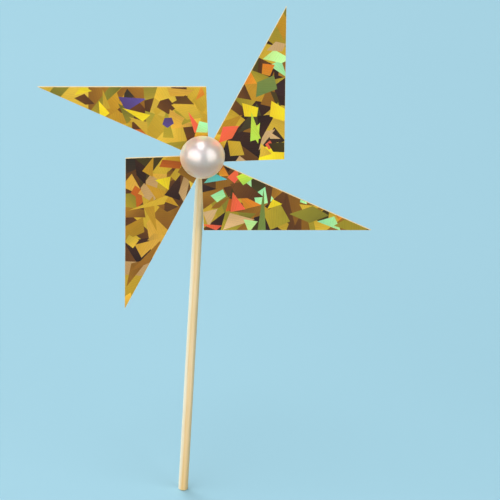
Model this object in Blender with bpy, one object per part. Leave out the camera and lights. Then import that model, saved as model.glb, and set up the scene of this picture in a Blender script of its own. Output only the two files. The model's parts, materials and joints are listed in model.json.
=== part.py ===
"""Pinwheel pick: a card rotor with a half-pearl hub, spinning on a pin through a bamboo stick.

Metres, +Z up. The origin is the centre of the stick's foot and the stick runs up +Z.
The rotor faces -Y and turns about a steel pin that crosses the stick near its top,
parallel to Y. Every place along the pin is worked out from the stick outwards.
"""
import math

import bmesh
import bpy

MM = 0.001

# The stick, and where the pin crosses it.
STICK_LENGTH = 120.0 * MM
STICK_RADIUS = 1.5 * MM
STICK_CHAMFER = 0.25 * MM
PIN_HEIGHT = 117.0 * MM

# The pin: a flat round head on a straight shank.
SHANK_RADIUS = 0.45 * MM
HEAD_RADIUS = 1.2 * MM
HEAD_THICKNESS = 0.45 * MM
HEAD_EDGE_RADIUS = 0.12 * MM
PIN_TIP_LENGTH = 0.4 * MM
PIN_TIP_RADIUS = 0.2 * MM

# Clearances: all radii are measured from the shank, all gaps along the pin.
GRIP_CLEARANCE = 0.02 * MM
RUNNING_CLEARANCE = 0.05 * MM
FACE_GAP = 0.3 * MM

# Beads on the pin: one between card and stick, one closing the pin's end behind the stick.
SPACER_RADIUS = 1.6 * MM
SPACER_LENGTH = 2.2 * MM
END_BEAD_RADIUS = 1.5 * MM
END_BEAD_LENGTH = 2.2 * MM
END_BEAD_HOLE_DEPTH = 1.5 * MM

# The washer that keeps the pin's head from pulling through the card.
WASHER_RADIUS = 1.9 * MM
WASHER_THICKNESS = 0.3 * MM
WASHER_EDGE_RADIUS = 0.08 * MM

# The rotor card: one outline repeated at each quarter turn. Seen from the front, the
# upper left blade has its tip TIP_REACH to the left and BLADE_HEIGHT above the pin,
# its square corner almost straight above the pin, and its root at the notch point.
# The pin hole is punched by hand, so the outline's centre lies a little off the pin.
CARD_THICKNESS = 0.45 * MM
TIP_REACH = 51.0 * MM
BLADE_HEIGHT = 24.2 * MM
CORNER_SHIFT = 0.2 * MM
NOTCH_SIDE = 1.07 * MM
NOTCH_HEIGHT = 3.5 * MM
BLADE_COUNT = 4
OUTLINE_SHIFT_ACROSS = 0.8 * MM
OUTLINE_SHIFT_UP = -1.2 * MM
REST_TURN = math.radians(2.4)

# The half pearl: a hemisphere, with a pocket in its flat back for washer and pin head.
PEARL_RADIUS = 6.85 * MM
PEARL_EDGE_RADIUS = 0.35 * MM
POCKET_RADIUS = 2.4 * MM
POCKET_DEPTH = 1.5 * MM

# Facets round a full turn and along a rounded edge.
STICK_SEGMENTS = 48
SMALL_SEGMENTS = 32
PEARL_SEGMENTS = 64
PEARL_RINGS = 20
EDGE_STEPS = 4
SHARP_ANGLE = math.radians(40.0)
WELD_DISTANCE = 1e-7

# Places along the pin, as distances in front of the stick's axis (towards -Y).
SPACER_BACK = STICK_RADIUS + FACE_GAP
CARD_BACK = SPACER_BACK + SPACER_LENGTH + FACE_GAP
CARD_FRONT = CARD_BACK + CARD_THICKNESS
PEARL_BACK = CARD_FRONT + FACE_GAP
WASHER_BACK = CARD_FRONT + FACE_GAP
HEAD_BACK = WASHER_BACK + WASHER_THICKNESS + FACE_GAP
END_BEAD_FRONT = -(STICK_RADIUS + FACE_GAP)
END_BEAD_BACK = END_BEAD_FRONT - END_BEAD_LENGTH
PIN_END = END_BEAD_FRONT - END_BEAD_HOLE_DEPTH + FACE_GAP


def clear_scene():
    for obj in list(bpy.data.objects):
        bpy.data.objects.remove(obj, do_unlink=True)


def make_material(name, colour, roughness, metallic=0.0):
    material = bpy.data.materials.new(name)
    material.use_nodes = True
    shader = material.node_tree.nodes["Principled BSDF"]
    shader.inputs["Base Color"].default_value = (*colour, 1.0)
    shader.inputs["Roughness"].default_value = roughness
    shader.inputs["Metallic"].default_value = metallic
    material.diffuse_color = (*colour, 1.0)
    return material


def add_object(name, bm, material, parent):
    """Turn a bmesh into a named object under parent, with faces out and round sides smooth."""
    bmesh.ops.recalc_face_normals(bm, faces=bm.faces)
    mesh = bpy.data.meshes.new(name)
    bm.to_mesh(mesh)
    bm.free()
    mesh.materials.append(material)
    mesh.shade_smooth()
    mesh.set_sharp_from_angle(angle=SHARP_ANGLE)
    obj = bpy.data.objects.new(name, mesh)
    bpy.context.scene.collection.objects.link(obj)
    obj.parent = parent
    return obj


def turned(profile, segments, closed):
    """Spin a profile of (radius, height) points about Z; closed joins its last point to its first."""
    bm = bmesh.new()
    verts = [bm.verts.new((radius, 0.0, height)) for radius, height in profile]
    pairs = list(zip(verts, verts[1:]))
    if closed:
        pairs.append((verts[-1], verts[0]))
    edges = [bm.edges.new(pair) for pair in pairs]
    bmesh.ops.spin(
        bm,
        geom=verts + edges,
        cent=(0.0, 0.0, 0.0),
        axis=(0.0, 0.0, 1.0),
        dvec=(0.0, 0.0, 0.0),
        angle=2.0 * math.pi,
        steps=segments,
    )
    bmesh.ops.remove_doubles(bm, verts=bm.verts, dist=WELD_DISTANCE)
    return bm


def arc(centre_radius, centre_height, radius, start, end, steps):
    """Points on an arc in the profile plane; angles in degrees, counted from +radius to +height."""
    points = []
    for step in range(steps + 1):
        angle = math.radians(start + (end - start) * step / steps)
        points.append((
            centre_radius + radius * math.cos(angle),
            centre_height + radius * math.sin(angle),
        ))
    return points


def point_forward(obj, distance):
    """Lay a turned piece along the pin: its base at distance in front of the stick's axis."""
    obj.location = (0.0, -distance, 0.0)
    obj.rotation_euler = (math.radians(90.0), 0.0, 0.0)


def drill(target, name, radius, parent):
    """Cut a round hole along the pin's axis right through the target."""
    bm = bmesh.new()
    bmesh.ops.create_cone(
        bm,
        cap_ends=True,
        segments=SMALL_SEGMENTS,
        radius1=radius,
        radius2=radius,
        depth=4.0 * CARD_BACK,
    )
    cutter = add_object(name, bm, target.data.materials[0], parent)
    point_forward(cutter, 0.0)
    cutter.hide_render = True
    cutter.display_type = "WIRE"
    hole = target.modifiers.new("pin_hole", "BOOLEAN")
    hole.operation = "DIFFERENCE"
    hole.solver = "EXACT"
    hole.object = cutter


def build_stick(material, pin_axis):
    """A straight round bamboo stick with lightly broken edges and a cross hole for the pin."""
    profile = [
        (0.0, STICK_LENGTH),
        (STICK_RADIUS - STICK_CHAMFER, STICK_LENGTH),
        (STICK_RADIUS, STICK_LENGTH - STICK_CHAMFER),
        (STICK_RADIUS, STICK_CHAMFER),
        (STICK_RADIUS - STICK_CHAMFER, 0.0),
        (0.0, 0.0),
    ]
    stick = add_object("bamboo_stick", turned(profile, STICK_SEGMENTS, False), material, None)
    drill(stick, "stick_hole_cutter", SHANK_RADIUS + GRIP_CLEARANCE, pin_axis)


def build_pin(material, pin_axis):
    """A flat-headed steel pin; height 0 of its profile is the back of its head."""
    shank_length = HEAD_BACK - PIN_END
    rim = HEAD_RADIUS - HEAD_EDGE_RADIUS
    profile = [(0.0, HEAD_THICKNESS)]
    profile += arc(rim, HEAD_THICKNESS - HEAD_EDGE_RADIUS, HEAD_EDGE_RADIUS, 90.0, 0.0, EDGE_STEPS)
    profile += [
        (HEAD_RADIUS, 0.0),
        (SHANK_RADIUS, 0.0),
        (SHANK_RADIUS, PIN_TIP_LENGTH - shank_length),
        (PIN_TIP_RADIUS, -shank_length),
        (0.0, -shank_length),
    ]
    pin = add_object("axle_pin", turned(profile, SMALL_SEGMENTS, False), material, pin_axis)
    point_forward(pin, HEAD_BACK)


def bead_side(radius, length):
    """The rounded outer side of a bead from its front end to its back end."""
    edge = length / 3.0
    side = arc(radius - edge, length - edge, edge, 90.0, 0.0, EDGE_STEPS)
    side += arc(radius - edge, edge, edge, 0.0, -90.0, EDGE_STEPS)
    return side


def build_spacer_bead(material, pin_axis):
    """A short drilled bead that holds the card clear of the stick."""
    bore = SHANK_RADIUS + GRIP_CLEARANCE
    profile = bead_side(SPACER_RADIUS, SPACER_LENGTH)
    profile += [(bore, 0.0), (bore, SPACER_LENGTH)]
    bead = add_object("spacer_bead", turned(profile, SMALL_SEGMENTS, True), material, pin_axis)
    point_forward(bead, SPACER_BACK)


def build_end_bead(material, pin_axis):
    """A blind bead glued on the pin's end behind the stick, open towards the stick."""
    bore = SHANK_RADIUS + GRIP_CLEARANCE
    hole_floor = END_BEAD_LENGTH - END_BEAD_HOLE_DEPTH
    profile = [(0.0, hole_floor), (bore, hole_floor), (bore, END_BEAD_LENGTH)]
    profile += bead_side(END_BEAD_RADIUS, END_BEAD_LENGTH)
    profile.append((0.0, 0.0))
    bead = add_object("pin_end_bead", turned(profile, SMALL_SEGMENTS, False), material, pin_axis)
    point_forward(bead, END_BEAD_BACK)


def build_washer(material, rotor_pivot):
    """A thin washer bonded to the card's face under the pin's head."""
    bore = SHANK_RADIUS + RUNNING_CLEARANCE
    rim = WASHER_RADIUS - WASHER_EDGE_RADIUS
    upper = WASHER_THICKNESS - WASHER_EDGE_RADIUS
    profile = arc(rim, upper, WASHER_EDGE_RADIUS, 90.0, 0.0, EDGE_STEPS)
    profile += [(WASHER_RADIUS, 0.0), (bore, 0.0), (bore, WASHER_THICKNESS)]
    washer = add_object("head_washer", turned(profile, SMALL_SEGMENTS, True), material, rotor_pivot)
    point_forward(washer, WASHER_BACK)


def card_outline():
    """The die-cut outline seen from the front as (across, up), anticlockwise from the top notch."""
    blade = [
        (NOTCH_SIDE, NOTCH_HEIGHT),
        (CORNER_SHIFT, BLADE_HEIGHT),
        (-TIP_REACH, BLADE_HEIGHT),
    ]
    outline = []
    for quarter in range(BLADE_COUNT):
        angle = quarter * 2.0 * math.pi / BLADE_COUNT
        for across, up in blade:
            outline.append((
                OUTLINE_SHIFT_ACROSS + across * math.cos(angle) - up * math.sin(angle),
                OUTLINE_SHIFT_UP + across * math.sin(angle) + up * math.cos(angle),
            ))
    return outline


def build_card(material, rotor_pivot):
    """The one-piece rotor card, cut flat and drilled for the pin."""
    bm = bmesh.new()
    face = bm.faces.new([bm.verts.new((across, -CARD_BACK, up)) for across, up in card_outline()])
    extruded = bmesh.ops.extrude_face_region(bm, geom=[face])
    front = [item for item in extruded["geom"] if isinstance(item, bmesh.types.BMVert)]
    bmesh.ops.translate(bm, verts=front, vec=(0.0, -CARD_THICKNESS, 0.0))
    card = add_object("pinwheel_card", bm, material, rotor_pivot)
    drill(card, "card_hole_cutter", SHANK_RADIUS + RUNNING_CLEARANCE, rotor_pivot)


def build_pearl(material, rotor_pivot):
    """A half pearl whose back edge is softly rounded; height 0 is its flat back."""
    rim = PEARL_RADIUS - PEARL_EDGE_RADIUS
    profile = arc(0.0, PEARL_EDGE_RADIUS, PEARL_RADIUS, 90.0, 0.0, PEARL_RINGS)
    profile += arc(rim, PEARL_EDGE_RADIUS, PEARL_EDGE_RADIUS, 0.0, -90.0, EDGE_STEPS)[1:]
    profile += [(POCKET_RADIUS, 0.0), (POCKET_RADIUS, POCKET_DEPTH), (0.0, POCKET_DEPTH)]
    pearl = add_object("half_pearl", turned(profile, PEARL_SEGMENTS, False), material, rotor_pivot)
    point_forward(pearl, PEARL_BACK)


def build_pinwheel():
    clear_scene()
    bamboo = make_material("bamboo", (0.72, 0.55, 0.30), 0.55)
    foil_card = make_material("foil_card", (0.60, 0.43, 0.08), 0.25, 1.0)
    pearl_coat = make_material("pearl_coat", (0.86, 0.83, 0.80), 0.22)
    pin_steel = make_material("pin_steel", (0.62, 0.62, 0.64), 0.28, 1.0)
    washer_plastic = make_material("washer_plastic", (0.85, 0.86, 0.87), 0.30)
    bead_plastic = make_material("bead_plastic", (0.88, 0.86, 0.82), 0.28)

    pin_axis = bpy.data.objects.new("pin_axis", None)
    pin_axis.location = (0.0, 0.0, PIN_HEIGHT)
    bpy.context.scene.collection.objects.link(pin_axis)

    # Turning anticlockwise for someone in front of the rotor is a negative turn about +Y.
    rotor_pivot = bpy.data.objects.new("rotor_pivot", None)
    rotor_pivot.rotation_euler = (0.0, -REST_TURN, 0.0)
    bpy.context.scene.collection.objects.link(rotor_pivot)
    rotor_pivot.parent = pin_axis

    build_stick(bamboo, pin_axis)
    build_pin(pin_steel, pin_axis)
    build_spacer_bead(bead_plastic, pin_axis)
    build_end_bead(bead_plastic, pin_axis)
    build_card(foil_card, rotor_pivot)
    build_washer(washer_plastic, rotor_pivot)
    build_pearl(pearl_coat, rotor_pivot)
    bpy.context.view_layer.update()


build_pinwheel()
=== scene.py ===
import json
import math
import random

import bmesh
import bpy
import numpy
from mathutils import Matrix, Vector, noise


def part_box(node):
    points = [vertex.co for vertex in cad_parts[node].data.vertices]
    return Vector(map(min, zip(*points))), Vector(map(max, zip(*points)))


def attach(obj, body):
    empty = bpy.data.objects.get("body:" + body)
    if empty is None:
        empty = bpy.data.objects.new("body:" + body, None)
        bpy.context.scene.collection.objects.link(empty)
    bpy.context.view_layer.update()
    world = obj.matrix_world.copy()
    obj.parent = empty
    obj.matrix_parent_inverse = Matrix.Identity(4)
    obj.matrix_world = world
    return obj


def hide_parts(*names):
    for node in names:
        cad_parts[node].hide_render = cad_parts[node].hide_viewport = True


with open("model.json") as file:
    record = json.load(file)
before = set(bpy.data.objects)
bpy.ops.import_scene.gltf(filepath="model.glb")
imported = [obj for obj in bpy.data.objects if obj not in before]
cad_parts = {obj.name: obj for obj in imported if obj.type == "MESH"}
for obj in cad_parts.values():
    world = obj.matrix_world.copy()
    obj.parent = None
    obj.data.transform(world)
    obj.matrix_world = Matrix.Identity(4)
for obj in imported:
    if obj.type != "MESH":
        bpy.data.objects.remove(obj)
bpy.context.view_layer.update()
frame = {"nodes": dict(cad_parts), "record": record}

# The looks of the pinwheel pick. The rotor faces -Y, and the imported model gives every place
# and size: lengths here are in millimetres unless a name says otherwise.

MM = 0.001
# Places nearer to each other than this, in metres, count as one.
TOUCH = 1e-6
# How finely the round pieces are turned, and the angle above which an edge shows as sharp.
ROUND_SEGMENTS = 96
PEARL_SEGMENTS = 144
SHARP_ANGLE = math.radians(40.0)

PIN = Vector(frame["record"]["behaviour"]["joints"][0]["pos_m"])
STICK_LOW, STICK_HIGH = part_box("bamboo_stick")
CARD_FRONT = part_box("pinwheel_card")[0].y
PEARL_LOW, PEARL_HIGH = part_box("half_pearl")

# The camera looks down on the rotor, a little from its left, with the stick leaning in the frame.
CAMERA_AZIMUTH = math.radians(-2.88)
CAMERA_ELEVATION = math.radians(25.94)
CAMERA_ROLL = math.radians(3.364)
CAMERA_BACK = Vector((
    math.sin(CAMERA_AZIMUTH) * math.cos(CAMERA_ELEVATION),
    -math.cos(CAMERA_AZIMUTH) * math.cos(CAMERA_ELEVATION),
    math.sin(CAMERA_ELEVATION),
))

# Sizes inside the CAD boxes: the stick's ends, the pin's holes and the pearl's pocket.
STICK_CHAMFER = 0.25
PIN_HOLE_RADIUS = 0.47
BEAD_HOLE_DEPTH = 1.5
POCKET_RADIUS = 2.4
POCKET_DEPTH = 1.5

# The film lies just clear of the card, and glue fills the slit between film and pearl.
FILM_LIFT = 0.02
FILM_THICKNESS = 0.03
FILM_FRONT = CARD_FRONT - (FILM_LIFT + FILM_THICKNESS) * MM


# ---------------------------------------------------------------- node helpers

def linear(red, green, blue):
    """A screen colour (0 to 255 a channel) as a linear RGBA colour."""
    channels = []
    for value in (red, green, blue):
        share = value / 255.0
        channels.append(share / 12.92 if share <= 0.04045 else ((share + 0.055) / 1.055) ** 2.4)
    return (*channels, 1.0)


class Nodes:
    """A small builder for one material's node tree."""

    def __init__(self, name):
        self.material = bpy.data.materials.new(name)
        self.material.use_nodes = True
        self.tree = self.material.node_tree
        self.shader = self.tree.nodes["Principled BSDF"]

    def add(self, kind, **properties):
        """Add a node and set some of its properties."""
        node = self.tree.nodes.new(kind)
        for name, value in properties.items():
            setattr(node, name, value)
        return node

    def feed(self, socket, value):
        """Link an output to a socket, or set the socket's own value."""
        if isinstance(value, bpy.types.NodeSocket):
            self.tree.links.new(value, socket)
        else:
            socket.default_value = value

    def shade(self, **values):
        """Set or link the surface shader's inputs, named with underscores."""
        for key, value in values.items():
            name = key.replace("_", " ").title().replace("Ior", "IOR")
            self.feed(self.shader.inputs[name], value)

    def math(self, operation, first, second=None, clamp=False):
        node = self.add("ShaderNodeMath", operation=operation, use_clamp=clamp)
        self.feed(node.inputs[0], first)
        if second is not None:
            self.feed(node.inputs[1], second)
        return node.outputs[0]

    def vector_math(self, operation, first, second=None, scale=None):
        node = self.add("ShaderNodeVectorMath", operation=operation)
        self.feed(node.inputs[0], first)
        if second is not None:
            self.feed(node.inputs[1], second)
        if scale is not None:
            self.feed(node.inputs["Scale"], scale)
        return node.outputs["Value"] if operation == "DOT_PRODUCT" else node.outputs["Vector"]

    def mix(self, factor, first, second, blend="MIX"):
        node = self.add("ShaderNodeMix", data_type="RGBA", blend_type=blend)
        self.feed(node.inputs["Factor"], factor)
        self.feed(node.inputs["A"], first)
        self.feed(node.inputs["B"], second)
        return node.outputs["Result"]

    def place(self, scale=(1.0, 1.0, 1.0)):
        """The place on the piece in metres, scaled on each axis."""
        mapping = self.add("ShaderNodeMapping")
        self.feed(mapping.inputs["Vector"], self.add("ShaderNodeTexCoord").outputs["Object"])
        mapping.inputs["Scale"].default_value = scale
        return mapping.outputs["Vector"]

    def geometry(self, name):
        """A value of the surface point being shaded, such as its normal."""
        return self.add("ShaderNodeNewGeometry").outputs[name]

    def part(self, vector, axis):
        """One coordinate of a vector."""
        node = self.add("ShaderNodeSeparateXYZ")
        self.feed(node.inputs[0], vector)
        return node.outputs[axis]

    def noise(self, vector, scale, detail, roughness):
        node = self.add("ShaderNodeTexNoise")
        self.feed(node.inputs["Vector"], vector)
        node.inputs["Scale"].default_value = scale
        node.inputs["Detail"].default_value = detail
        node.inputs["Roughness"].default_value = roughness
        return node.outputs["Fac"]

    def line_noise(self, value, scale):
        """Noise along one number, for grooves of uneven depth."""
        node = self.add("ShaderNodeTexNoise", noise_dimensions="1D")
        self.feed(node.inputs["W"], value)
        node.inputs["Scale"].default_value = scale
        node.inputs["Detail"].default_value = 2.0
        return node.outputs["Fac"]

    def ramp(self, factor, *stops):
        """A colour ramp through (position, colour) stops."""
        node = self.add("ShaderNodeValToRGB")
        self.feed(node.inputs["Fac"], factor)
        elements = node.color_ramp.elements
        while len(elements) < len(stops):
            elements.new(1.0)
        for element, (position, colour) in zip(elements, stops):
            element.position = position
            element.color = colour
        return node.outputs["Color"]

    def level(self, value, low, high, to_low=0.0, to_high=1.0):
        """Map value from low..high to to_low..to_high, clamped."""
        node = self.add("ShaderNodeMapRange")
        self.feed(node.inputs["Value"], value)
        node.inputs["From Min"].default_value = low
        node.inputs["From Max"].default_value = high
        node.inputs["To Min"].default_value = to_low
        node.inputs["To Max"].default_value = to_high
        return node.outputs["Result"]

    def bump(self, height, strength, distance_mm):
        node = self.add("ShaderNodeBump")
        self.feed(node.inputs["Height"], height)
        node.inputs["Strength"].default_value = strength
        node.inputs["Distance"].default_value = distance_mm * MM
        return node.outputs["Normal"]

    def attribute(self, name, output):
        """A value stored on the mesh."""
        return self.add("ShaderNodeAttribute", attribute_name=name).outputs[output]

    def turn(self, vector, convert_from, convert_to):
        """A direction turned from one space to another."""
        node = self.add("ShaderNodeVectorTransform", convert_from=convert_from, convert_to=convert_to)
        self.feed(node.inputs["Vector"], vector)
        return node.outputs["Vector"]


# ------------------------------------------------------------------- materials

def bamboo_material():
    """Pale bamboo: fibres and fine dark pores along it, warmer at the foot, with painted shade down its +X
    side and a painted highlight down its -X side.
    """
    nodes = Nodes("bamboo")
    fibres = nodes.noise(nodes.place((1500.0, 1500.0, 18.0)), 1.0, 4.0, 0.6)
    pores = nodes.noise(nodes.place((4200.0, 4200.0, 60.0)), 1.0, 2.0, 0.5)
    patches = nodes.noise(nodes.place((220.0, 220.0, 40.0)), 1.0, 2.0, 0.5)
    colour = nodes.ramp(
        fibres,
        (0.25, linear(222, 178, 120)),
        (0.45, linear(236, 198, 146)),
        (0.60, linear(243, 209, 162)),
        (0.80, linear(249, 222, 184)),
    )
    colour = nodes.mix(nodes.level(patches, 0.42, 0.72, 0.0, 0.35), colour, linear(226, 190, 126))
    colour = nodes.mix(nodes.level(pores, 0.64, 0.74, 0.0, 0.4), colour, linear(168, 122, 70))
    near_foot = nodes.level(nodes.part(nodes.place(), "Z"), 45.0 * MM, 0.0, 0.0, 0.35)
    colour = nodes.mix(near_foot, colour, linear(226, 174, 92))
    # Painted side light: a band down the +X side is painted darker olive-tan as shade, and one down the -X
    # side lighter cream as a highlight. Their borders waver a little.
    waver = nodes.level(patches, 0.3, 0.7, -0.2 * MM, 0.2 * MM)
    painted_side_light_across = nodes.math("ADD", nodes.part(nodes.place(), "X"), waver)
    colour = nodes.mix(nodes.level(painted_side_light_across, 0.5 * MM, 1.3 * MM, 0.0, 0.7), colour, linear(176, 158, 116))
    colour = nodes.mix(nodes.level(painted_side_light_across, -0.5 * MM, -1.3 * MM, 0.0, 0.7), colour, linear(244, 236, 214))
    grain = nodes.math("ADD", fibres, nodes.math("MULTIPLY", pores, 0.5))
    nodes.shade(
        base_color=colour,
        roughness=nodes.level(fibres, 0.3, 0.7, 0.58, 0.42),
        specular_ior_level=0.35,
        subsurface_weight=0.08,
        subsurface_scale=0.4 * MM,
        subsurface_radius=(1.0, 0.6, 0.3),
        normal=nodes.bump(grain, 0.35, 0.06),
    )
    return nodes.material


def paper_material():
    """White card: soft fibres, faint mottling, a very matt surface, and straw-coloured cut edges."""
    nodes = Nodes("white_card")
    fibres = nodes.noise(nodes.place(), 2600.0, 5.0, 0.65)
    mottle = nodes.noise(nodes.place(), 160.0, 3.0, 0.5)
    colour = nodes.ramp(mottle, (0.3, linear(240, 236, 226)), (0.7, linear(247, 244, 236)))
    colour = nodes.mix(nodes.level(fibres, 0.56, 0.74, 0.0, 0.3), colour, linear(206, 196, 176))
    backwards = nodes.part(nodes.geometry("Normal"), "Y")
    colour = nodes.mix(nodes.level(backwards, 0.6, 0.4), colour, linear(222, 200, 150))
    nodes.shade(
        base_color=colour,
        roughness=nodes.level(fibres, 0.3, 0.7, 0.95, 0.8),
        specular_ior_level=0.2,
        normal=nodes.bump(fibres, 0.3, 0.03),
    )
    return nodes.material


# Evens out the floor's cool light, so that the inks come out as listed.
FOIL_GAIN = (1.10, 0.93, 0.83)
# How fast the glance colour comes up, and how far the normals lean along a shard's rays:
# the whole shard, and its lines to and fro.
GLANCE_GAIN = 3.2
SHARD_TILT = 0.05
LINE_LEAN = 0.015


def foil_material():
    """Shattered-glass film. Each shard has its own colour, fine ruled lines and glance colour."""
    nodes = Nodes("shattered_foil")
    shard = nodes.attribute("shard_colour", "Color")
    glance = nodes.attribute("glance_colour", "Color")
    direction = nodes.attribute("ray_direction", "Vector")
    phase = nodes.attribute("line_phase", "Fac")
    home = nodes.attribute("home_glance", "Fac")

    # A shard shows its own colour seen straight on and from the display side, and turns
    # towards its glance colour as it is seen along its rays from anywhere else.
    seen_from = nodes.turn(nodes.geometry("Incoming"), "WORLD", "OBJECT")
    seen = nodes.vector_math("DOT_PRODUCT", seen_from, direction)
    away = nodes.math("ABSOLUTE", nodes.math("MULTIPLY", seen, nodes.math("SUBTRACT", seen, home)))
    colour = nodes.mix(nodes.math("MULTIPLY", away, GLANCE_GAIN, clamp=True), shard, glance)

    lines = nodes.math("SINE", nodes.math("MULTIPLY", phase, 2.0 * math.pi))
    ruling = nodes.line_noise(phase, 1.7)
    haze = nodes.noise(nodes.place(), 420.0, 2.0, 0.5)
    ruled = nodes.level(ruling, 0.3, 0.7, 0.85, 1.12)
    brightness = nodes.math("MULTIPLY", ruled, nodes.level(haze, 0.3, 0.7, 0.97, 1.04))
    colour = nodes.vector_math("SCALE", nodes.vector_math("MULTIPLY", colour, FOIL_GAIN), scale=brightness)

    rays = nodes.turn(direction, "OBJECT", "WORLD")
    lean = nodes.vector_math("SCALE", rays, scale=nodes.math("MULTIPLY", lines, LINE_LEAN))
    tilt = nodes.vector_math("SCALE", rays, scale=SHARD_TILT)
    normal = nodes.vector_math("ADD", nodes.geometry("Normal"), nodes.vector_math("ADD", lean, tilt))
    nodes.shade(
        base_color=colour,
        metallic=0.3,
        roughness=nodes.level(ruling, 0.3, 0.7, 0.36, 0.26),
        specular_ior_level=0.25,
        coat_weight=0.12,
        coat_roughness=0.12,
        normal=nodes.vector_math("NORMALIZE", normal),
    )
    return nodes.material


def pearl_material():
    """Pearl lacquer: a grey-cream body under a soft bright coat, painted warmer and lighter towards the
    rim as a reflection of the gold foil and rim light, and painted warmer and darker below as bounce light
    and shade.
    """
    nodes = Nodes("pearl_lacquer")
    facing = nodes.add("ShaderNodeLayerWeight")
    facing.inputs["Blend"].default_value = 0.5
    cloud = nodes.noise(nodes.place(), 190.0, 4.0, 0.55)
    edge = nodes.math("ADD", facing.outputs["Facing"], nodes.level(cloud, 0.3, 0.7, -0.03, 0.03))
    # Painted reflection and rim light: towards the rim the body is painted warmer and lighter, standing
    # for the gold foil mirrored in it and light round its edge.
    colour = nodes.ramp(
        edge,
        (0.00, linear(206, 198, 196)),
        (0.14, linear(206, 190, 182)),
        (0.38, linear(231, 203, 180)),
        (0.75, linear(255, 231, 202)),
    )
    lustre = nodes.noise(nodes.place(), 120.0, 1.0, 0.4)
    blush = nodes.ramp(
        lustre,
        (0.35, linear(226, 206, 232)),
        (0.50, linear(226, 222, 214)),
        (0.65, linear(206, 230, 214)),
    )
    colour = nodes.mix(0.16, colour, blush)
    # Painted bounce light and shade: faces turned towards the floor are multiplied by a warm tint, so the
    # lower part reads warmer and darker.
    painted_warm_shade_below = nodes.level(nodes.part(nodes.geometry("Normal"), "Z"), 0.45, -0.1)
    colour = nodes.mix(painted_warm_shade_below, colour, linear(242, 209, 186), "MULTIPLY")
    glitter = nodes.noise(nodes.place(), 5200.0, 2.0, 0.5)
    nodes.shade(
        base_color=nodes.mix(nodes.level(glitter, 0.5, 0.8, 0.0, 0.18), colour, linear(236, 222, 226)),
        metallic=nodes.level(edge, 0.3, 0.62, 0.48, 0.05),
        roughness=nodes.level(glitter, 0.3, 0.7, 0.37, 0.31),
        specular_ior_level=0.6,
        coat_weight=nodes.level(edge, 0.5, 0.9, 1.0, 0.15),
        coat_roughness=0.18,
        sheen_weight=0.8,
        sheen_roughness=0.35,
        sheen_tint=linear(255, 230, 196),
        subsurface_weight=0.1,
        subsurface_scale=1.2 * MM,
    )
    return nodes.material


def steel_material():
    """Nickel-plated pin steel with fine turning marks round its axis."""
    nodes = Nodes("nickel_pin")
    marks = nodes.noise(nodes.place((900.0, 9000.0, 900.0)), 1.0, 3.0, 0.6)
    nodes.shade(
        base_color=nodes.ramp(marks, (0.3, linear(176, 174, 168)), (0.7, linear(214, 212, 206))),
        metallic=1.0,
        roughness=nodes.level(marks, 0.3, 0.7, 0.36, 0.2),
        normal=nodes.bump(marks, 0.2, 0.02),
    )
    return nodes.material


def plastic_material(name, light, dark, roughness, gloss):
    """Moulded plastic with a slightly uneven colour and skin."""
    nodes = Nodes(name)
    cloud = nodes.noise(nodes.place(), 700.0, 3.0, 0.5)
    skin = nodes.noise(nodes.place(), 5200.0, 2.0, 0.5)
    nodes.shade(
        base_color=nodes.ramp(cloud, (0.3, dark), (0.7, light)),
        roughness=nodes.level(skin, 0.3, 0.7, roughness + 0.06, roughness - 0.04),
        coat_weight=gloss,
        coat_roughness=0.1,
        subsurface_weight=0.1,
        subsurface_scale=0.5 * MM,
        normal=nodes.bump(skin, 0.06, 0.02),
    )
    return nodes.material


# ------------------------------------------------------------- shapes: general

def add_piece(name, bm, material, body, replaced=None):
    """Turn a bmesh into a piece that rides on a CAD body and takes the given material."""
    bmesh.ops.recalc_face_normals(bm, faces=bm.faces)
    mesh = bpy.data.meshes.new(name)
    bm.to_mesh(mesh)
    bm.free()
    mesh.materials.append(material)
    mesh.shade_smooth()
    mesh.set_sharp_from_angle(angle=SHARP_ANGLE)
    piece = bpy.data.objects.new(name, mesh)
    bpy.context.scene.collection.objects.link(piece)
    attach(piece, body)
    if replaced:
        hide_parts(replaced)


def unit(degrees):
    """A step of length 1 in a direction."""
    return complex(math.cos(math.radians(degrees)), math.sin(math.radians(degrees)))


def arc(centre_radius, centre_height, radius, start, end, steps):
    """Points of a profile on an arc; angles in degrees, counted from outwards to forwards."""
    points = []
    for step in range(steps + 1):
        reach = unit(start + (end - start) * step / steps) * radius
        points.append((centre_radius + reach.real, centre_height + reach.imag))
    return points


def join_rings(bm, first, second):
    """The faces between two rings of points, where a ring of one point closes the other."""
    for side in range(max(len(first), len(second))):
        places = ((first, side), (first, side + 1), (second, side + 1), (second, side))
        corners = [ring[place % len(ring)] for ring, place in places]
        bm.faces.new(list(dict.fromkeys(corners)))


def turned(profile, segments, back_y, closed=False):
    """Turn a profile of (radius, distance in front of back_y) points, in metres, about the pin."""
    bm = bmesh.new()
    rings = []
    for radius, forward in profile:
        ring = []
        for side in range(segments if radius > TOUCH else 1):
            step = unit(360.0 * side / segments) * radius
            ring.append(bm.verts.new((PIN.x + step.real, back_y - forward, PIN.z + step.imag)))
        rings.append(ring)
    for first, second in zip(rings, rings[1:]):
        join_rings(bm, first, second)
    if closed:
        join_rings(bm, rings[-1], rings[0])
    return bm


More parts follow.
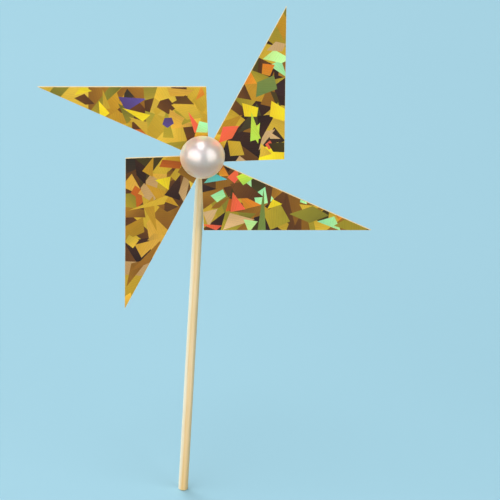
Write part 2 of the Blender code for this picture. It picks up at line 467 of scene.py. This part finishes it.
def cut(whole, cutter):
    """A new bmesh: the whole with the cutter's volume taken out of it."""
    objects = []
    for name, bm in (("whole", whole), ("cutter", cutter)):
        mesh = bpy.data.meshes.new(name)
        bm.to_mesh(mesh)
        bm.free()
        objects.append(bpy.data.objects.new(name, mesh))
        bpy.context.scene.collection.objects.link(objects[-1])
    boolean = objects[0].modifiers.new("cut", "BOOLEAN")
    boolean.operation = "DIFFERENCE"
    boolean.solver = "EXACT"
    boolean.object = objects[1]
    rest = bmesh.new()
    rest.from_mesh(objects[0].evaluated_get(bpy.context.evaluated_depsgraph_get()).data)
    for obj in objects:
        bpy.data.objects.remove(obj, do_unlink=True)
    many_sided = [face for face in rest.faces if len(face.verts) > 4]
    bmesh.ops.triangulate(rest, faces=many_sided, ngon_method="BEAUTY")
    return rest


# --------------------------------------------------------------- shapes: stick

def build_stick(material):
    """The stick, not quite round: flats and grooves of split bamboo run along it."""
    segments, rings = 72, 160
    mean_reach, groove_depth, wave_depth = 0.985, 0.012, 0.010
    radius = (STICK_HIGH.x - STICK_LOW.x) / 2.0
    length = STICK_HIGH.z - STICK_LOW.z
    chamfer = STICK_CHAMFER * MM
    heights = [0.0]
    heights += [chamfer + (length - 2.0 * chamfer) * ring / rings for ring in range(rings + 1)]
    heights.append(length)
    bm = bmesh.new()
    loops = []
    for height in heights:
        at_end = height in (0.0, length)
        loop = []
        for segment in range(segments):
            angle = 2.0 * math.pi * segment / segments
            around = Vector((math.cos(angle), math.sin(angle), 0.0))
            # Grooves are narrow and run along the stick; a wave takes in a whole side.
            groove = noise.noise(Vector((around.x * 5.0, around.y * 5.0, height * 30.0)))
            wave = noise.noise(Vector((around.x, around.y, height * 60.0 + 7.0)))
            reach = radius * (mean_reach + groove_depth * groove + wave_depth * wave)
            if at_end:
                reach -= chamfer
            loop.append(bm.verts.new((around.x * reach, around.y * reach, height)))
        loops.append(loop)
    for lower, upper in zip(loops, loops[1:]):
        join_rings(bm, lower, upper)
    bm.faces.new(list(reversed(loops[0])))
    bm.faces.new(loops[-1])
    add_piece("bamboo_pick", cut(bm, pin_drill(4.0 * radius)), material, "stick", "bamboo_stick")


def pin_drill(length):
    """A cutter for the pin's hole, turned a little so that its edges miss the stick's own."""
    lying = Matrix.Rotation(math.radians(90.0), 4, "X")
    turned_a_little = Matrix.Rotation(math.radians(2.0), 4, "Z")
    drill = bmesh.new()
    bmesh.ops.create_cone(
        drill,
        cap_ends=True,
        segments=48,
        radius1=PIN_HOLE_RADIUS * MM,
        radius2=PIN_HOLE_RADIUS * MM,
        depth=length,
        matrix=Matrix.Translation((PIN.x, 0.0, PIN.z)) @ lying @ turned_a_little,
    )
    return drill


# ---------------------------------------------------------- shapes: the card

def card_outline():
    """The card's outline seen from the front, in mm from the pin as complex(across, up).

    It is read off the CAD card's front face and runs anticlockwise from a notch, so that
    it is four times notch, square corner, tip. Corners of the pin's hole are left out.
    """
    apart = 1.0
    points = []
    for vertex in frame["nodes"]["pinwheel_card"].data.vertices:
        if abs(vertex.co.y - CARD_FRONT) > TOUCH:
            continue
        point = complex(vertex.co.x - PIN.x, vertex.co.z - PIN.z) / MM
        if abs(point) > apart and all(abs(point - other) > apart for other in points):
            points.append(point)
    centre = sum(points) / len(points)
    points.sort(key=lambda point: math.atan2((point - centre).imag, (point - centre).real))
    nearest = min(range(len(points)), key=lambda index: abs(points[index] - centre))
    return points[nearest:] + points[:nearest], centre


def cross(first, second):
    """The cross product: positive when second points to the left of first."""
    return (first.conjugate() * second).imag


def edges_of(polygon):
    """The sides of a polygon, or of a loop of point numbers, as pairs."""
    return list(zip(polygon, polygon[1:] + polygon[:1]))


def area(polygon):
    """A polygon's area, positive when it runs anticlockwise."""
    return sum(cross(start, end) for start, end in edges_of(polygon)) / 2.0


def clip(polygon, start, end):
    """The part of a convex polygon to the left of the line from start to end."""
    along = (end - start) / abs(end - start)
    kept = []
    for first, second in edges_of(polygon):
        before = cross(along, first - start)
        after = cross(along, second - start)
        if before >= 0.0:
            kept.append(first)
        if before * after < 0.0:
            kept.append(first + (second - first) * before / (before - after))
    return kept


def overlap(polygon, shard):
    """The part of a convex polygon inside a convex shard."""
    for start, end in edges_of(shard):
        polygon = clip(polygon, start, end)
        if len(polygon) < 3:
            return []
    return polygon


def cut_away(polygon, shard):
    """The convex parts of a convex polygon that a convex shard leaves showing."""
    showing = []
    for start, end in edges_of(shard):
        outside = clip(polygon, end, start)
        if len(outside) > 2 and area(outside) > SLIVER:
            showing.append(outside)
        polygon = clip(polygon, start, end)
        if len(polygon) < 3:
            break
    return showing


# ------------------------------------------------------- the film's shards

SEED = 22
# Cells smaller than SLIVER, in square mm, are dropped; points nearer than WELD are one.
SLIVER = 1e-4
WELD = 2e-3
# The film stops short of the card's edges and has a round hole for the pin.
FILM_MARGIN = 0.08
FILM_HOLE_RADIUS = 0.7
FILM_HOLE_SIDES = 16
# The ruled lines on a shard lie this far apart.
LINE_PITCH = 0.42
# Cracked shards end up smaller than an area between these two, in square mm.
SHARD_AREAS = (9.0, 60.0)
# Where a crack crosses a side, as a share of the side, and its angle to the side in degrees.
CRACK_PLACES = (0.3, 0.7)
CRACK_ANGLES = (32.0, 148.0)
# Loose shards: how many, their shortest, longest and most usual length, and their width
# as a share of their length. The corners may stray by UNEVEN of the step between them.
LOOSE_PER_BLADE = 11
LOOSE_LENGTHS = (6.0, 17.0, 10.0)
LOOSE_WIDTHS = (0.25, 0.6)
LOOSE_CORNERS = (3, 3, 4)
UNEVEN = 0.3
# How strongly shards differ in tone, fade along their rays and drift to another ink.
TINTS = (0.84, 1.12)
FADES = (-0.28, 0.28)
DRIFT_SHARE = 0.28

INKS = {
    "espresso": (46, 28, 24),
    "umber": (84, 48, 24),
    "brown": (136, 86, 30),
    "rust": (176, 84, 24),
    "ochre": (192, 138, 32),
    "gold": (204, 162, 38),
    "light_gold": (222, 188, 62),
    "amber": (250, 190, 48),
    "olive_gold": (164, 152, 44),
    "olive": (122, 116, 40),
    "dark_olive": (70, 64, 22),
    "sage": (124, 152, 76),
    "yellow": (255, 234, 28),
    "lime": (184, 246, 92),
    "pale_lime": (214, 252, 146),
    "mint": (160, 246, 182),
    "cyan": (78, 184, 200),
    "violet": (98, 80, 160),
    "orange": (238, 124, 28),
    "coral": (250, 94, 76),
    "peach": (230, 190, 136),
    "tan": (190, 146, 88),
}

# How often each ink falls on each blade.
MOODS = {
    "upper_left": {"gold": 20, "light_gold": 9, "ochre": 14, "amber": 6, "yellow": 4, "umber": 12,
                   "brown": 11, "olive_gold": 8, "olive": 5, "espresso": 5, "violet": 1, "rust": 3},
    "upper_right": {"espresso": 16, "umber": 10, "brown": 11, "olive_gold": 11, "gold": 12, "yellow": 5,
                    "ochre": 9, "dark_olive": 9, "sage": 4, "orange": 5, "peach": 4, "lime": 2},
    "lower_right": {"umber": 17, "espresso": 12, "olive": 12, "olive_gold": 12, "brown": 12, "gold": 9,
                    "dark_olive": 8, "rust": 5, "peach": 3, "mint": 2, "lime": 2, "orange": 3},
    "lower_left": {"gold": 14, "ochre": 14, "umber": 18, "brown": 18, "olive_gold": 8, "light_gold": 4,
                   "rust": 7, "espresso": 9, "tan": 4, "amber": 4, "dark_olive": 4},
}

# The shards that read first. Place: shares of the blade's length from its square corner and
# of its height from its long edge. Then length and width in mm, turn in degrees from the
# long edge towards the hub, and the number of corners. A later shard lies over an earlier one.
ACCENTS = [
    ("upper_left", "umber", 0.235, 0.27, 6.0, 5.4, 20, 5),
    ("upper_left", "light_gold", 0.11, 0.32, 11.0, 6.0, 150, 4),
    ("upper_left", "amber", 0.17, 0.07, 11.0, 3.2, 0, 4),
    ("upper_left", "orange", 0.04, 0.10, 6.4, 3.2, 92, 3),
    ("upper_left", "amber", 0.185, 0.43, 6.8, 5.2, 135, 4),
    ("upper_left", "violet", 0.46, 0.22, 11.0, 5.6, 8, 3),
    ("upper_left", "violet", 0.225, 0.49, 3.8, 3.6, 60, 5),
    ("upper_left", "coral", 0.07, 0.50, 8.4, 4.2, 118, 3),
    ("upper_left", "mint", 0.02, 0.56, 5.2, 4.6, 30, 4),
    ("upper_left", "yellow", 0.73, 0.05, 6.4, 3.4, 20, 3),
    ("upper_left", "yellow", 0.61, 0.30, 8.2, 4.6, 76, 3),
    ("upper_left", "yellow", 0.41, 0.36, 10.0, 4.2, 152, 3),
    ("upper_right", "espresso", 0.237, 0.25, 12.5, 6.0, 170, 3),
    ("upper_right", "lime", 0.19, 0.36, 9.0, 3.2, 4, 3),
    ("upper_right", "yellow", 0.325, 0.45, 6.6, 5.2, 60, 4),
    ("upper_right", "yellow", 0.31, 0.08, 7.0, 5.0, 20, 3),
    ("upper_right", "sage", 0.478, 0.24, 9.6, 6.0, 130, 4),
    ("upper_right", "mint", 0.60, 0.09, 8.6, 4.6, 30, 3),
    ("upper_right", "pale_lime", 0.675, 0.13, 9.4, 4.4, 82, 4),
    ("upper_right", "orange", 0.592, 0.22, 5.4, 4.6, 80, 4),
    ("upper_right", "peach", 0.735, 0.12, 6.4, 3.8, 100, 4),
    ("upper_right", "coral", 0.183, 0.71, 9.6, 4.6, 146, 4),
    ("upper_right", "peach", 0.16, 0.17, 6.4, 2.4, 60, 3),
    ("upper_right", "coral", 0.095, 0.19, 3.2, 2.6, 10, 4),
    ("lower_right", "umber", 0.25, 0.55, 12.0, 6.4, 170, 4),
    ("lower_right", "olive_gold", 0.44, 0.20, 10.5, 8.4, 50, 4),
    ("lower_right", "olive", 0.63, 0.22, 13.0, 5.6, 8, 4),
    ("lower_right", "sage", 0.342, 0.22, 17.5, 4.2, 88, 3),
    ("lower_right", "cyan", 0.068, 0.71, 7.6, 5.0, 20, 3),
    ("lower_right", "mint", 0.085, 0.49, 5.0, 4.4, 40, 4),
    ("lower_right", "coral", 0.19, 0.37, 8.4, 5.6, 112, 3),
    ("lower_right", "coral", 0.175, 0.75, 6.0, 3.4, 60, 4),
    ("lower_right", "lime", 0.245, 0.74, 5.6, 5.2, 30, 4),
    ("lower_right", "yellow", 0.41, 0.37, 6.2, 3.4, 10, 3),
    ("lower_right", "mint", 0.76, 0.10, 9.0, 5.0, 160, 3),
    ("lower_right", "mint", 0.60, 0.42, 3.0, 3.0, 45, 4),
    ("lower_right", "peach", 0.046, 0.20, 8.6, 5.2, 100, 3),
    ("lower_right", "coral", 0.050, 0.06, 7.4, 2.6, 170, 3),
    ("lower_right", "pale_lime", 0.27, 0.08, 6.0, 5.0, 50, 3),
    ("lower_left", "amber", 0.18, 0.13, 9.6, 7.4, 60, 3),
    ("lower_left", "rust", 0.215, 0.13, 3.8, 3.4, 10, 4),
    ("lower_left", "gold", 0.31, 0.29, 15.0, 4.8, 118, 3),
    ("lower_left", "yellow", 0.15, 0.50, 7.6, 4.6, 50, 3),
    ("lower_left", "espresso", 0.216, 0.61, 13.0, 5.4, 170, 3),
    ("lower_left", "tan", 0.20, 0.74, 10.5, 3.2, 176, 4),
    ("lower_left", "rust", 0.04, 0.57, 7.6, 4.4, 90, 4),
    ("lower_left", "amber", 0.58, 0.28, 11.5, 5.8, 125, 3),
    ("lower_left", "light_gold", 0.55, 0.09, 5.2, 4.0, 45, 4),
    ("upper_right", "ochre", 0.88, 0.05, 11.0, 4.2, 10, 4),
    ("lower_right", "olive_gold", 0.89, 0.05, 12.0, 4.4, 170, 4),
    ("lower_left", "amber", 0.95, 0.02, 8.0, 4.0, 0, 4),
    ("upper_left", "umber", 0.72, 0.17, 7.0, 3.4, 160, 4),
    ("upper_right", "dark_olive", 0.09, 0.06, 7.4, 5.2, 80, 4),
    ("upper_right", "light_gold", 0.045, 0.25, 7.0, 4.0, 20, 3),
    ("upper_right", "gold", 0.07, 0.62, 7.4, 5.4, 30, 4),
    ("lower_left", "brown", 0.10, 0.80, 9.0, 5.0, 50, 4),
    ("lower_left", "ochre", 0.055, 0.30, 8.0, 4.6, 0, 3),
    ("upper_right", "lime", 0.205, 0.385, 11.5, 4.4, 4, 3),
    ("upper_right", "yellow", 0.32, 0.085, 8.0, 6.4, 40, 4),
    ("upper_left", "umber", 0.13, 0.20, 8.4, 4.0, 10, 3),
]

# The ink that each ink drifts towards across a shard.
DRIFTS = {
    "espresso": "umber", "umber": "brown", "brown": "ochre", "rust": "orange", "ochre": "gold",
    "gold": "light_gold", "light_gold": "amber", "amber": "tan", "olive_gold": "gold",
    "olive": "olive_gold", "dark_olive": "umber", "sage": "olive", "yellow": "amber",
    "lime": "yellow", "pale_lime": "mint", "mint": "pale_lime", "cyan": "mint", "violet": "umber",
    "orange": "amber", "coral": "orange", "peach": "tan", "tan": "peach",
}

# The inks that come up when a shard is seen from elsewhere.
GLANCE_INKS = (
    "gold", "gold", "ochre", "amber", "olive_gold", "umber", "brown", "espresso",
    "yellow", "orange", "coral", "lime", "mint", "cyan", "violet",
)


class Shard:
    """One straight-sided splinter of the film, with its colours and ruled lines."""

    def __init__(self, rng, outline, ink):
        self.outline = outline
        self.centre = sum(outline) / len(outline)
        self.reach = max(abs(corner - self.centre) for corner in outline)
        self.ray = unit(rng.uniform(0.0, 360.0))
        self.tint = rng.uniform(*TINTS)
        self.fade = rng.uniform(*FADES)
        self.colour = linear(*INKS[ink])
        self.drift = linear(*INKS[DRIFTS[ink]])
        self.glance = linear(*INKS[rng.choice(GLANCE_INKS)])

    def share_at(self, point):
        """How far a point lies along the shard's rays, from about -1 to 1."""
        return ((point - self.centre) * self.ray.conjugate()).real / self.reach

    def colour_at(self, point):
        """The shard's colour, drifting and fading evenly from one end of its rays to the other."""
        share = self.share_at(point)
        drift = DRIFT_SHARE * (1.0 + share)
        shade = self.tint + self.fade * share
        mixed = [own + (other - own) * drift for own, other in zip(self.colour[:3], self.drift[:3])]
        return (*[channel * shade for channel in mixed], 1.0)

    def phase_at(self, point):
        """How many ruled lines lie between the shard's centre and a point."""
        return self.share_at(point) * self.reach / LINE_PITCH


def splinter(rng, centre, length, width, turn, corners):
    """A convex outline with its corners spread unevenly round an ellipse."""
    first = rng.random()
    outline = []
    for corner in range(corners):
        reach = unit(360.0 * (corner + first + rng.uniform(-UNEVEN, UNEVEN)) / corners)
        outline.append(centre + complex(reach.real * length, reach.imag * width) / 2.0 * turn)
    if area(outline) < 0.0:
        outline.reverse()
    return outline


def cracked(rng, outline):
    """A convex outline broken into convex shards by straight cracks across its longest sides."""
    whole, broken = [outline], []
    while whole:
        piece = whole.pop()
        if area(piece) < rng.uniform(*SHARD_AREAS):
            broken.append(piece)
            continue
        start, end = max(edges_of(piece), key=lambda edge: abs(edge[1] - edge[0]))
        point = start + (end - start) * rng.uniform(*CRACK_PLACES)
        painted_side_light_across = point + (end - start) * unit(rng.uniform(*CRACK_ANGLES))
        whole += [clip(piece, point, painted_side_light_across), clip(piece, painted_side_light_across, point)]
    return broken


class Blade:
    """One blade's film area, with places given along its long edge and in towards the hub."""

    def __init__(self, centre, notch, corner, tip, next_notch):
        self.corner = corner
        self.along = tip - corner
        self.inward = (centre - corner) - self.along * share_along(centre - corner, self.along)
        side = "left" if tip.real < 0.0 else "right"
        self.name = ("upper_" if tip.imag > 0.0 else "lower_") + side
        self.film = [centre, notch, corner, tip, next_notch]
        for start, end in ((notch, corner), (corner, tip), (tip, next_notch)):
            inset = (end - start) / abs(end - start) * 1j * FILM_MARGIN
            self.film = clip(self.film, start + inset, end + inset)

    def place(self, along, inward):
        """A place given as shares of the blade's length and height."""
        return self.corner + self.along * along + self.inward * inward

    def heading(self, degrees):
        """A direction turned from the long edge towards the hub."""
        turn = unit(degrees)
        return self.along / abs(self.along) * turn.real + self.inward / abs(self.inward) * turn.imag


def share_along(vector, base):
    """How far vector reaches along base, as a share of base."""
    return (vector * base.conjugate()).real / abs(base) ** 2


def picked_ink(rng, mood):
    """An ink drawn by how often each falls on the blade."""
    return rng.choices(list(mood), weights=list(mood.values()))[0]


def lay_shards(blades):
    """The bed of cracked shards that tile the blades, and the loose shards that lie on it."""
    rng = random.Random(SEED)
    bed, loose = [], []
    for blade in blades:
        mood = MOODS[blade.name]
        bed += [Shard(rng, outline, picked_ink(rng, mood)) for outline in cracked(rng, blade.film)]
        for number in range(LOOSE_PER_BLADE):
            along = 1.0 - math.sqrt((number + rng.random()) / LOOSE_PER_BLADE)
            inward = rng.random() * (1.0 - along)
            length = rng.triangular(*LOOSE_LENGTHS)
            width = length * rng.uniform(*LOOSE_WIDTHS)
            turn = blade.heading(rng.uniform(0.0, 180.0))
            corners = rng.choice(LOOSE_CORNERS)
            outline = splinter(rng, blade.place(along, inward), length, width, turn, corners)
            loose.append(Shard(rng, outline, picked_ink(rng, mood)))
    by_name = {blade.name: blade for blade in blades}
    for name, ink, along, inward, length, width, turn, corners in ACCENTS:
        blade = by_name[name]
        centre = blade.place(along, inward)
        outline = splinter(rng, centre, length, width, blade.heading(turn), corners)
        loose.append(Shard(rng, outline, ink))
    return bed, loose


def visible_cells(blades, bed, loose):
    """(convex polygon, shard) for everything that shows once the loose shards lie on the bed."""
    cells = [(shard.outline, shard) for shard in bed]
    for shard in loose:
        kept = []
        for polygon, owner in cells:
            covered = overlap(polygon, shard.outline)
            if len(covered) > 2 and area(covered) > SLIVER:
                kept += [(part, owner) for part in cut_away(polygon, shard.outline)]
            else:
                kept.append((polygon, owner))
        for blade in blades:
            shown = overlap(blade.film, shard.outline)
            if len(shown) > 2 and area(shown) > SLIVER:
                kept.append((shown, shard))
        cells = kept
    return cells


def weld(cells):
    """Shared points, and each cell as point numbers, with every neighbour's corner on its sides."""
    points, buckets = [], {}

    def number_of(point):
        column, row = round(point.real / WELD), round(point.imag / WELD)
        for bucket in ((column + right, row + up) for right in (-1, 0, 1) for up in (-1, 0, 1)):
            for number in buckets.get(bucket, ()):
                if abs(points[number] - point) < WELD:
                    return number
        points.append(point)
        buckets.setdefault((column, row), []).append(len(points) - 1)
        return len(points) - 1

    loops = [([number_of(point) for point in polygon], shard) for polygon, shard in cells]
    places = numpy.array(points)
    finished = []
    for loop, shard in loops:
        full = []
        for first, second in edges_of(loop):
            if first == second:
                continue
            side = points[second] - points[first]
            offsets = (places - points[first]) / side
            shares = offsets.real
            near = (shares > 0.0) & (shares < 1.0) & (abs(offsets.imag) * abs(side) < WELD)
            near[[first, second]] = False
            between = numpy.flatnonzero(near)
            full.append(first)
            full += [int(number) for number in between[numpy.argsort(shares[between])]]
        full = without_spikes(full)
        if len(full) > 2:
            finished.append((full, shard))
    return points, finished


def without_spikes(loop):
    """A loop of point numbers with the stretches that run out and straight back left out."""
    changed = True
    while changed and len(loop) > 2:
        changed = False
        for place, number in enumerate(loop):
            if number == loop[place - 2]:
                spike = (place, (place - 1) % len(loop))
                loop = [kept for index, kept in enumerate(loop) if index not in spike]
                changed = True
                break
    return loop


def fanned(points, loops):
    """The same sheet in triangles: each loop of more than three points fans from its middle."""
    triangles = []
    for loop, shard in loops:
        if len(loop) == 3:
            triangles.append((loop, shard))
            continue
        points.append(sum(points[number] for number in loop) / len(loop))
        middle = len(points) - 1
        triangles += [((first, second, middle), shard) for first, second in edges_of(loop)]
    return points, triangles


def build_film(material):
    """The foil film: a thin closed sheet on the card's face whose front is a mosaic of shards."""
    outline, centre = card_outline()
    blades = []
    for quarter in range(4):
        corners = [outline[(3 * quarter + step) % len(outline)] for step in range(4)]
        blades.append(Blade(centre, *corners))
    bed, loose = lay_shards(blades)
    cells = visible_cells(blades, bed, loose)
    hole = [unit(360.0 * side / FILM_HOLE_SIDES) * FILM_HOLE_RADIUS for side in range(FILM_HOLE_SIDES)]
    cells = [(part, shard) for polygon, shard in cells for part in cut_away(polygon, hole)]
    points, loops = fanned(*weld(cells))

    bm = bmesh.new()
    shard_colour = bm.loops.layers.float_color.new("shard_colour")
    glance_colour = bm.loops.layers.float_color.new("glance_colour")
    ray_direction = bm.loops.layers.float_vector.new("ray_direction")
    line_phase = bm.loops.layers.float.new("line_phase")
    home_glance = bm.loops.layers.float.new("home_glance")
    front, back = [
        [bm.verts.new((PIN.x + point.real * MM, y, PIN.z + point.imag * MM)) for point in points]
        for y in (FILM_FRONT, FILM_FRONT + FILM_THICKNESS * MM)
    ]
    for loop, shard in loops:
        direction = Vector((shard.ray.real, 0.0, shard.ray.imag))
        face = bm.faces.new([front[number] for number in loop])
        for corner, number in zip(face.loops, loop):
            corner[shard_colour] = shard.colour_at(points[number])
            corner[glance_colour] = shard.glance
            corner[ray_direction] = direction
            corner[line_phase] = shard.phase_at(points[number])
            corner[home_glance] = direction.dot(CAMERA_BACK)
    rim = [edge for edge in bm.edges if edge.is_boundary]
    partner = dict(zip(front, back))
    for loop, _ in loops:
        bm.faces.new([back[number] for number in reversed(loop)])
    for edge in rim:
        first, second = edge.verts
        bm.faces.new((first, second, partner[second], partner[first]))
    unused = [vert for vert in bm.verts if not vert.link_faces]
    bmesh.ops.delete(bm, geom=unused, context="VERTS")
    add_piece("foil_film", bm, material, "rotor")


# ------------------------------------------------------- shapes: hub and glue

def build_pearl(material):
    """The half pearl, smooth and round, with its pocket for the washer and the pin's head."""
    radius = (PEARL_HIGH.x - PEARL_LOW.x) / 2.0
    edge = (PEARL_HIGH.y - PEARL_LOW.y) - radius
    pocket_radius = POCKET_RADIUS * MM
    pocket_depth = POCKET_DEPTH * MM
    dome_steps, edge_steps = 56, 8
    profile = arc(0.0, edge, radius, 90.0, 0.0, dome_steps)
    profile += arc(radius - edge, edge, edge, 0.0, -90.0, edge_steps)[1:]
    profile += [(pocket_radius, 0.0), (pocket_radius, pocket_depth), (0.0, pocket_depth)]
    bm = turned(profile, PEARL_SEGMENTS, PEARL_HIGH.y)
    add_piece("pearl_cabochon", bm, material, "rotor", "half_pearl")


def bead_side(radius, length):
    """The rounded outer side of a bead, from its front end to its back end."""
    edge = length / 3.0
    steps = 16
    side = arc(radius - edge, length - edge, edge, 90.0, 0.0, steps)
    return side + arc(radius - edge, edge, edge, 0.0, -90.0, steps)


def build_spacer(material):
    """The drilled bead between card and stick."""
    low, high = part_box("spacer_bead")
    length = high.y - low.y
    bore = PIN_HOLE_RADIUS * MM
    profile = bead_side((high.x - low.x) / 2.0, length) + [(bore, 0.0), (bore, length)]
    bm = turned(profile, ROUND_SEGMENTS, high.y, closed=True)
    add_piece("round_spacer", bm, material, "stick", "spacer_bead")


def build_end_bead(material):
    """The blind bead behind the stick; its hole opens towards the stick."""
    low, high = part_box("pin_end_bead")
    length = high.y - low.y
    bore = PIN_HOLE_RADIUS * MM
    hole_floor = length - BEAD_HOLE_DEPTH * MM
    profile = [(0.0, hole_floor), (bore, hole_floor), (bore, length)]
    profile += bead_side((high.x - low.x) / 2.0, length) + [(0.0, 0.0)]
    bm = turned(profile, ROUND_SEGMENTS, high.y)
    add_piece("round_end_bead", bm, material, "stick", "pin_end_bead")


def build_glue(material):
    """The ring of glue between film and pearl, hollow round its outer edge."""
    margin, hollow, steps = 0.45 * MM, 0.12 * MM, 8
    outer = (PEARL_HIGH.x - PEARL_LOW.x) / 2.0 - margin
    inner = POCKET_RADIUS * MM + margin
    depth = FILM_FRONT - PEARL_HIGH.y
    profile = [(inner, 0.0), (inner, depth)]
    for step in range(steps + 1):
        share = step / steps
        pulled_in = hollow * math.sin(math.pi * share)
        profile.append((outer - pulled_in, depth * (1.0 - share)))
    bm = turned(profile, ROUND_SEGMENTS, FILM_FRONT, closed=True)
    add_piece("pearl_glue", bm, material, "rotor")


# --------------------------------------------------------------------- staging

FLOOR_RADIUS_M = 6.0
FLOOR_SIDES = 64
# From the first of these distances to the second, the floor fades into the backdrop.
FADE_START_M = 0.6
FADE_END_M = 1.6
BACKDROP = linear(172, 216, 230)
AMBIENT = [0.31 * channel for channel in linear(244, 243, 240)]

# Oval lights that face the hub: name, direction, width and height in metres, radiance, colour.
# The pearl mirrors the first three as its highlights.
SOFTBOX_DISTANCE_M = 1.8
SOFTBOXES = [
    ("left_softbox", (-0.73, -0.64, 0.31), 2.90, 2.00, 2.2, (1.0, 0.99, 0.98)),
    ("right_softbox", (0.72, -0.60, 0.29), 1.70, 3.20, 1.8, (1.0, 0.99, 0.98)),
    ("top_softbox", (-0.19, -0.02, 0.98), 2.20, 1.00, 3.3, (0.98, 0.99, 1.0)),
    ("back_softbox", (-0.45, 0.80, 0.40), 1.60, 1.60, 3.4, (1.0, 0.985, 0.96)),
]

FOCAL_LENGTH_MM = 648.0
SENSOR_MM = 36.0
CLIP_END_M = 100.0
# How much of the card's plane the frame takes in across, in mm, and where the pin stands,
# in frame widths from the middle.
VIEW_WIDTH = 152.2
PIN_ACROSS = -0.0952
PIN_UP = 0.1894


def floor_material():
    """A plain pale floor, which the camera sees fade into the backdrop far from the object."""
    nodes = Nodes("pale_floor")
    cloud = nodes.noise(nodes.place(), 3.0, 2.0, 0.5)
    nodes.shade(
        base_color=nodes.ramp(cloud, (0.3, linear(145, 187, 203)), (0.7, linear(149, 190, 206))),
        roughness=0.9,
        specular_ior_level=0.1,
    )
    position = nodes.geometry("Position")
    distance_squared = nodes.vector_math("DOT_PRODUCT", position, position)
    far = nodes.level(distance_squared, FADE_START_M ** 2, FADE_END_M ** 2)
    seen = nodes.add("ShaderNodeLightPath").outputs["Is Camera Ray"]
    backdrop = nodes.add("ShaderNodeEmission")
    backdrop.inputs["Color"].default_value = BACKDROP
    blend = nodes.add("ShaderNodeMixShader")
    nodes.feed(blend.inputs[0], nodes.math("MULTIPLY", far, seen))
    nodes.feed(blend.inputs[1], nodes.shader.outputs[0])
    nodes.feed(blend.inputs[2], backdrop.outputs[0])
    nodes.feed(nodes.tree.nodes["Material Output"].inputs["Surface"], blend.outputs[0])
    return nodes.material


def build_floor(material):
    """A wide round floor just under the stick's foot."""
    bm = bmesh.new()
    ring = [unit(360.0 * side / FLOOR_SIDES) * FLOOR_RADIUS_M for side in range(FLOOR_SIDES)]
    bm.faces.new([bm.verts.new((point.real, point.imag, STICK_LOW.z - TOUCH)) for point in ring])
    mesh = bpy.data.meshes.new("floor")
    bm.to_mesh(mesh)
    bm.free()
    mesh.materials.append(material)
    floor = bpy.data.objects.new("floor", mesh)
    bpy.context.scene.collection.objects.link(floor)


def add_softbox(name, direction, width, height, radiance, colour):
    """An oval area light whose power gives its face the wanted radiance."""
    data = bpy.data.lights.new(name, "AREA")
    data.shape = "ELLIPSE"
    data.size = width
    data.size_y = height
    oval_area = math.pi * width * height / 4.0
    data.energy = radiance * math.pi * oval_area
    data.color = colour
    light = bpy.data.objects.new(name, data)
    towards = Vector(direction).normalized()
    light.location = PIN + towards * SOFTBOX_DISTANCE_M
    light.rotation_euler = towards.to_track_quat("Z", "Y").to_euler()
    bpy.context.scene.collection.objects.link(light)


def build_world():
    """Dim light from all round, in whose place the camera sees the backdrop."""
    world = bpy.data.worlds.new("studio")
    world.use_nodes = True
    tree = world.node_tree
    path = tree.nodes.new("ShaderNodeLightPath")
    tone = tree.nodes.new("ShaderNodeMix")
    tone.data_type = "RGBA"
    tone.inputs["A"].default_value = AMBIENT
    tone.inputs["B"].default_value = BACKDROP
    tree.links.new(path.outputs["Is Camera Ray"], tone.inputs["Factor"])
    tree.links.new(tone.outputs["Result"], tree.nodes["Background"].inputs["Color"])
    bpy.context.scene.world = world


def camera_axes():
    """The camera's right and up axes, rolled, for a camera looking along -CAMERA_BACK."""
    right = Vector((math.cos(CAMERA_AZIMUTH), math.sin(CAMERA_AZIMUTH), 0.0))
    up = CAMERA_BACK.cross(right)
    roll_cos, roll_sin = math.cos(CAMERA_ROLL), math.sin(CAMERA_ROLL)
    return right * roll_cos + up * roll_sin, up * roll_cos - right * roll_sin


def build_camera():
    """A long lens, placed so that the pin stands where PIN_ACROSS and PIN_UP say."""
    right, up = camera_axes()
    data = bpy.data.cameras.new("camera")
    data.lens = FOCAL_LENGTH_MM
    data.sensor_width = SENSOR_MM
    data.clip_end = CLIP_END_M
    camera = bpy.data.objects.new("camera", data)
    width = VIEW_WIDTH * MM
    distance = width * FOCAL_LENGTH_MM / SENSOR_MM
    face = Vector((PIN.x, CARD_FRONT, PIN.z))
    aim = face - right * (PIN_ACROSS * width) - up * (PIN_UP * width)
    camera.location = aim + CAMERA_BACK * distance
    camera.rotation_euler = Matrix((right, up, CAMERA_BACK)).transposed().to_euler()
    bpy.context.scene.collection.objects.link(camera)
    bpy.context.scene.camera = camera
    bpy.context.scene.view_settings.view_transform = "Standard"


# ------------------------------------------------------------------------ main

def dress(node, material):
    """Give a CAD node its finished material."""
    mesh = frame["nodes"][node].data
    mesh.materials.clear()
    mesh.materials.append(material)


def build_scene():
    """Every piece, then the floor, the lights and the camera."""
    milky = plastic_material("milky_plastic", linear(236, 238, 238), linear(218, 222, 224), 0.34, 0.2)
    ivory = plastic_material("bead_plastic", linear(240, 234, 222), linear(224, 216, 202), 0.26, 0.6)
    build_stick(bamboo_material())
    build_film(foil_material())
    build_pearl(pearl_material())
    build_glue(milky)
    build_spacer(ivory)
    build_end_bead(ivory)
    dress("pinwheel_card", paper_material())
    dress("axle_pin", steel_material())
    dress("head_washer", milky)
    build_floor(floor_material())
    for softbox in SOFTBOXES:
        add_softbox(*softbox)
    build_world()
    build_camera()


build_scene()
